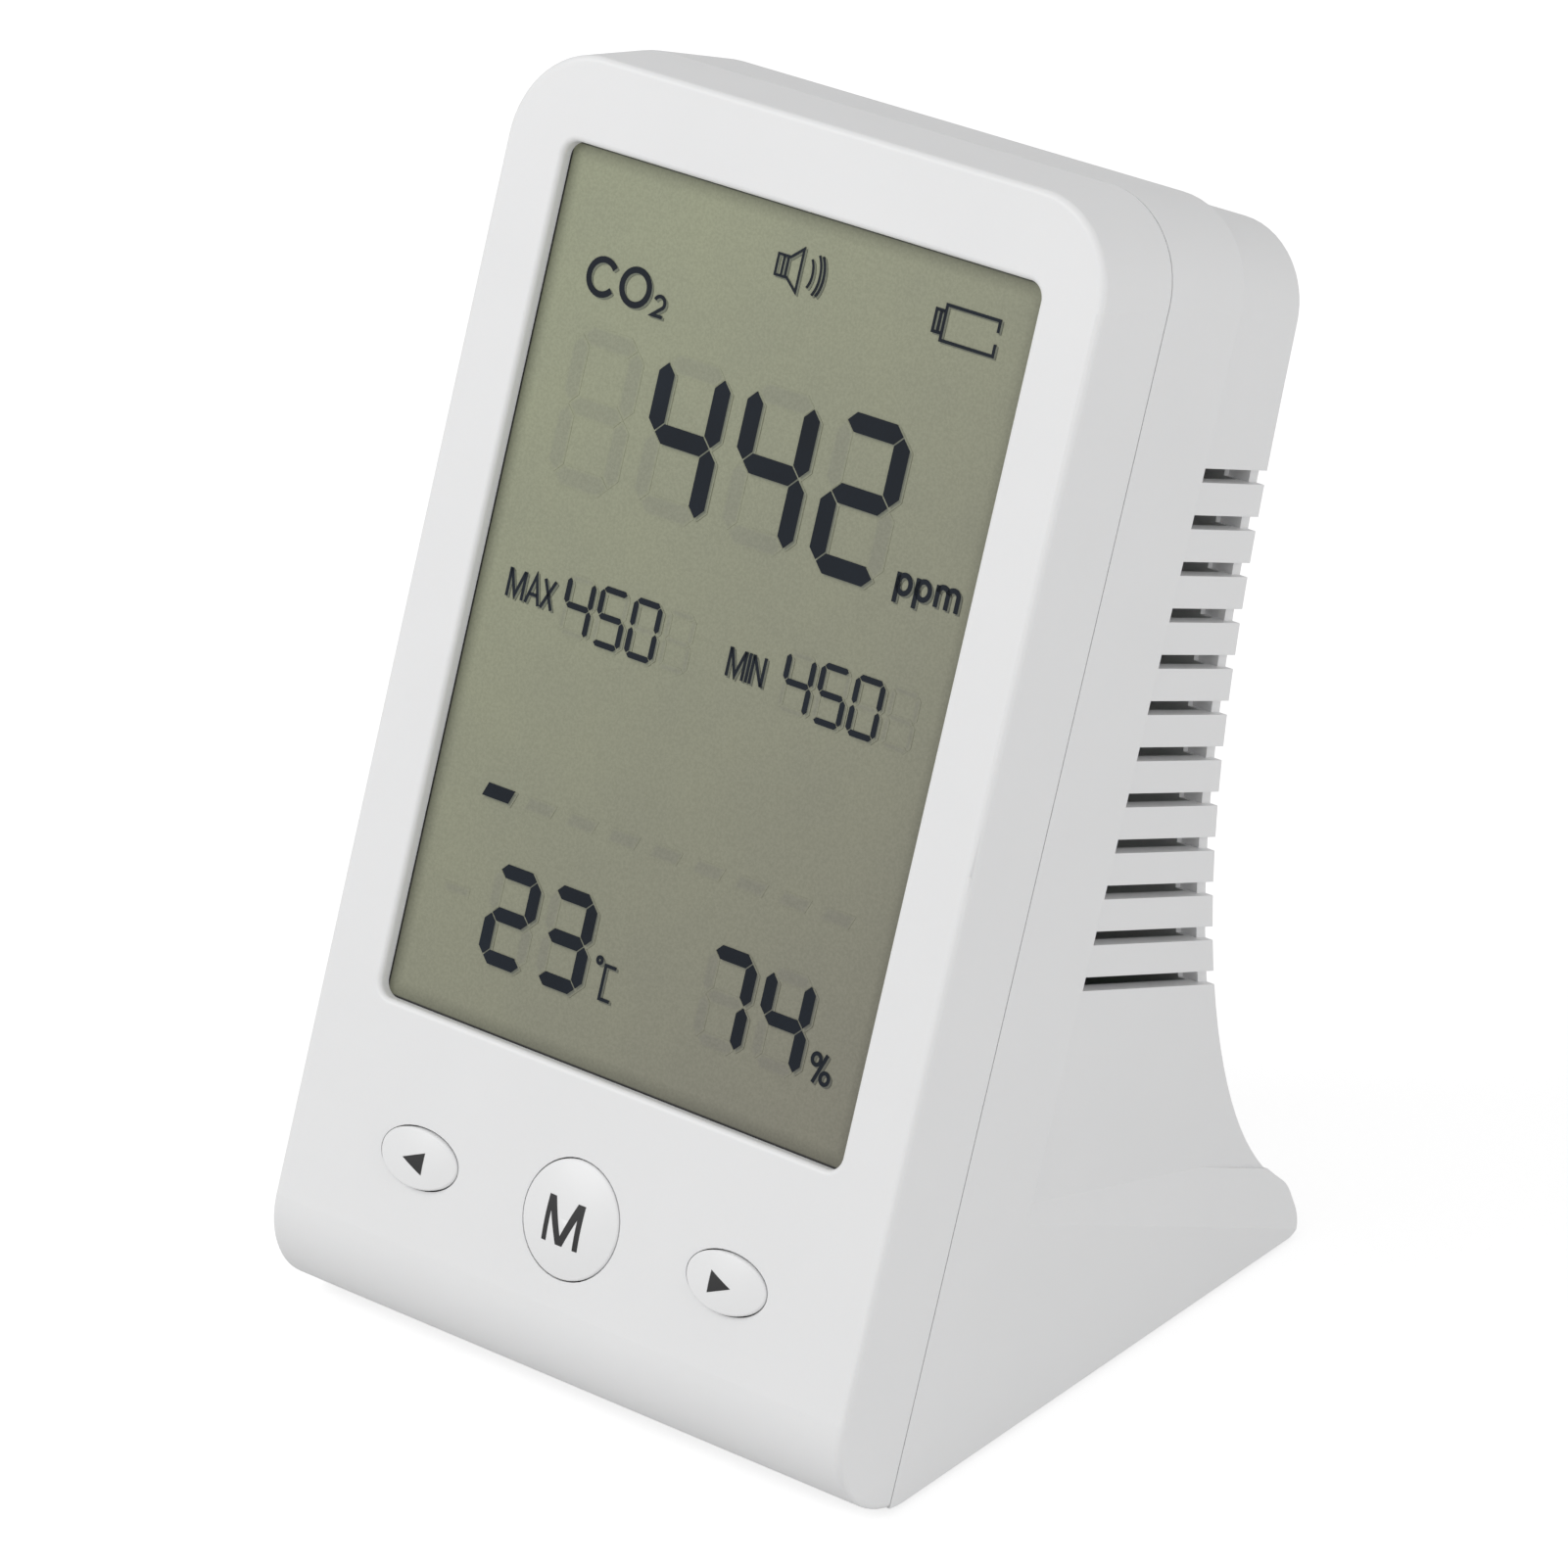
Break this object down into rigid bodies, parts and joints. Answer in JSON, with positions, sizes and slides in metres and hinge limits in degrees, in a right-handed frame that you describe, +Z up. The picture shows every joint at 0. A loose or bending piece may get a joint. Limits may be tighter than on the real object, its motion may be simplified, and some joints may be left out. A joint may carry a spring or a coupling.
{
  "type": "carbon dioxide monitor",
  "caption": "Backward-leaning desk-top air monitor: white two-part housing, portrait segment display, three push buttons, louvred rear pod and wedge foot.",
  "frame": {"origin": "bottom centre of the object's box, at the underside of the rubber feet", "axes": "+Z up, the display faces -Y and leans back, X across the front"},
  "size_m": [0.0806, 0.0842, 0.1306],
  "materials": {
    "housing": "satin white moulding",
    "button": "satin white moulding, black printed signs",
    "switch_case": "black moulding",
    "switch_plunger": "red-brown moulding",
    "display_film": "anti-glare polariser over a grey-green liquid crystal",
    "display_glass": "clear",
    "reflector": "silvered polariser",
    "light_guide": "white light guide",
    "display_frame": "white moulding",
    "elastomer": "pink and black layered strip",
    "circuit_board": "green solder mask",
    "resin": "black potting resin",
    "metal": "tinned steel",
    "membrane": "white fibre membrane",
    "chip": "black moulding",
    "pouch": "laminated foil pouch",
    "foam": "adhesive foam",
    "wire_red": "red insulation",
    "wire_black": "black insulation",
    "screw": "zinc plated",
    "rubber": "grey rubber"
  },
  "bodies": {
    "root": {"backlight_panel": "light_guide", "base_screws": "screw", "battery_cell": "pouch", "battery_pad": "foam", "battery_wire_negative": "wire_black", "battery_wire_positive": "wire_red", "board_screws": "screw", "buzzer": "switch_case", "cell_membrane": "membrane", "charge_board": "circuit_board", "charge_screws": "screw", "charge_socket": "switch_case", "charge_wires": "wire_red", "co2_cell": "metal", "contact_strip": "elastomer", "controller_resin": "resin", "display_frame": "display_frame", "front_shell": "housing", "humidity_chip": "chip", "infrared_detector": "metal", "infrared_lamp": "metal", "lcd_front_film": "display_film", "lcd_front_glass": "display_glass", "lcd_rear_film": "reflector", "lcd_rear_glass": "display_glass", "link_socket_main": "switch_case", "link_socket_sensor": "switch_case", "main_board": "circuit_board", "power_socket": "switch_case", "rear_screws": "screw", "rear_shell": "housing", "rubber_feet": "rubber", "sensor_board": "circuit_board", "sensor_screws": "screw", "sensor_wires": "wire_black", "switch_case_left": "switch_case", "switch_case_mode": "switch_case", "switch_case_right": "switch_case", "usb_socket": "metal"},
    "left_button": {"button_left": "button", "switch_plunger_left": "switch_plunger"},
    "mode_button": {"button_mode": "button", "switch_plunger_mode": "switch_plunger"},
    "right_button": {"button_right": "button", "switch_plunger_right": "switch_plunger"}
  },
  "joints": [
    {"name": "press_left", "type": "slide", "parent": "root", "child": "left_button", "axis": [0, 0.9171, -0.3987], "range_m": [0, 0.0004], "stiffness_N_per_m": 4000, "springref_m": -0.0001},
    {"name": "press_mode", "type": "slide", "parent": "root", "child": "mode_button", "axis": [0, 0.9171, -0.3987], "range_m": [0, 0.0004], "stiffness_N_per_m": 4000, "springref_m": -0.0001},
    {"name": "press_right", "type": "slide", "parent": "root", "child": "right_button", "axis": [0, 0.9171, -0.3987], "range_m": [0, 0.0004], "stiffness_N_per_m": 4000, "springref_m": -0.0001}
  ]
}
